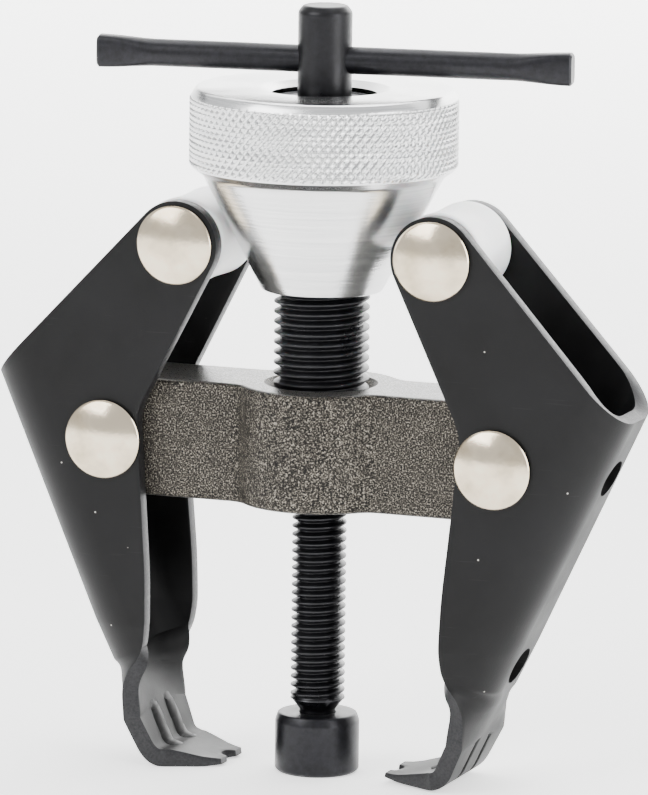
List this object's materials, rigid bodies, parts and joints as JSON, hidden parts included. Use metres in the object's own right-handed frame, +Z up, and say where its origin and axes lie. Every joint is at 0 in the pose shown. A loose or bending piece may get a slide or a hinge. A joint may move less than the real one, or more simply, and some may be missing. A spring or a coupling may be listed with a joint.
{
  "type": "two-leg gear puller",
  "caption": "Small two-leg puller: a knurled cone nut closes two hooked levers while a forcing spindle with a sliding bar pushes the shaft.",
  "frame": {"origin": "centre of the foot's pressing face, level with the underside of the left claw", "axes": "+Z up the spindle, +X along the yoke to the right leg, -Y towards the rivets' front heads"},
  "size_m": [0.0968, 0.0392, 0.1134],
  "materials": {
    "blasted_steel": "grit-blasted forging, oiled",
    "black_oxide_steel": "satin black oxide",
    "turned_aluminium": "bright turned and knurled",
    "spring_wire": "bright spring wire",
    "blackened_sheet": "satin black finish",
    "nickel_plate": "satin nickel plate",
    "bush_steel": "drawn tube",
    "white_nylon": "turned white nylon"
  },
  "bodies": {
    "yoke": {"yoke": "blasted_steel", "guide_sleeve": "black_oxide_steel"},
    "foot": {"pressure_foot": "black_oxide_steel", "foot_snap_ring": "spring_wire"},
    "spindle": {"forcing_spindle": "black_oxide_steel"},
    "tommy_bar": {"tommy_bar": "black_oxide_steel"},
    "cone_nut": {"cone_nut": "turned_aluminium"},
    "left_leg": {"left_leg": "blackened_sheet", "left_pivot_rivet": "nickel_plate", "left_roller_rivet": "nickel_plate", "left_roller_bush": "bush_steel"},
    "left_roller": {"left_roller": "white_nylon"},
    "right_leg": {"right_leg": "blackened_sheet", "right_pivot_rivet": "nickel_plate", "right_roller_rivet": "nickel_plate", "right_roller_bush": "bush_steel"},
    "right_roller": {"right_roller": "white_nylon"}
  },
  "joints": [
    {"name": "foot_slide", "type": "slide", "parent": "yoke", "child": "foot", "axis": [0, 0, 1], "range_m": [-0.0018, 0.028]},
    {"name": "spindle_spin", "type": "hinge", "parent": "foot", "child": "spindle", "pos_m": [0, 0, 0.05], "axis": [0, 0, 1], "range_deg": [-504, 7920]},
    {"name": "bar_slide", "type": "slide", "parent": "spindle", "child": "tommy_bar", "axis": [0.9895, 0.1444, 0], "range_m": [-0.0237, 0.0207]},
    {"name": "nut_slide", "type": "slide", "parent": "yoke", "child": "cone_nut", "axis": [0, 0, 1], "range_m": [-0.0045, 0.0015]},
    {"name": "left_leg_swing", "type": "hinge", "parent": "yoke", "child": "left_leg", "pos_m": [-0.0302, 0, 0.0489], "axis": [0, 1, 0], "range_deg": [-6.2, 2.4]},
    {"name": "left_roller_spin", "type": "hinge", "parent": "left_leg", "child": "left_roller", "pos_m": [-0.01948, 0, 0.0782], "axis": [0, 1, 0], "continuous": true},
    {"name": "right_leg_swing", "type": "hinge", "parent": "yoke", "child": "right_leg", "pos_m": [0.0302, 0, 0.0489], "axis": [0, -1, 0], "range_deg": [-6.2, 2.4]},
    {"name": "right_roller_spin", "type": "hinge", "parent": "right_leg", "child": "right_roller", "pos_m": [0.02025, 0, 0.07847], "axis": [0, -1, 0], "continuous": true}
  ],
  "couplings": [
    {"joint": "foot_slide", "follows": "spindle_spin", "m_per_rad": 0.00019894},
    {"joint": "left_leg_swing", "follows": "nut_slide", "rad_per_m": 22.103},
    {"joint": "right_leg_swing", "follows": "nut_slide", "rad_per_m": 22.103}
  ]
}
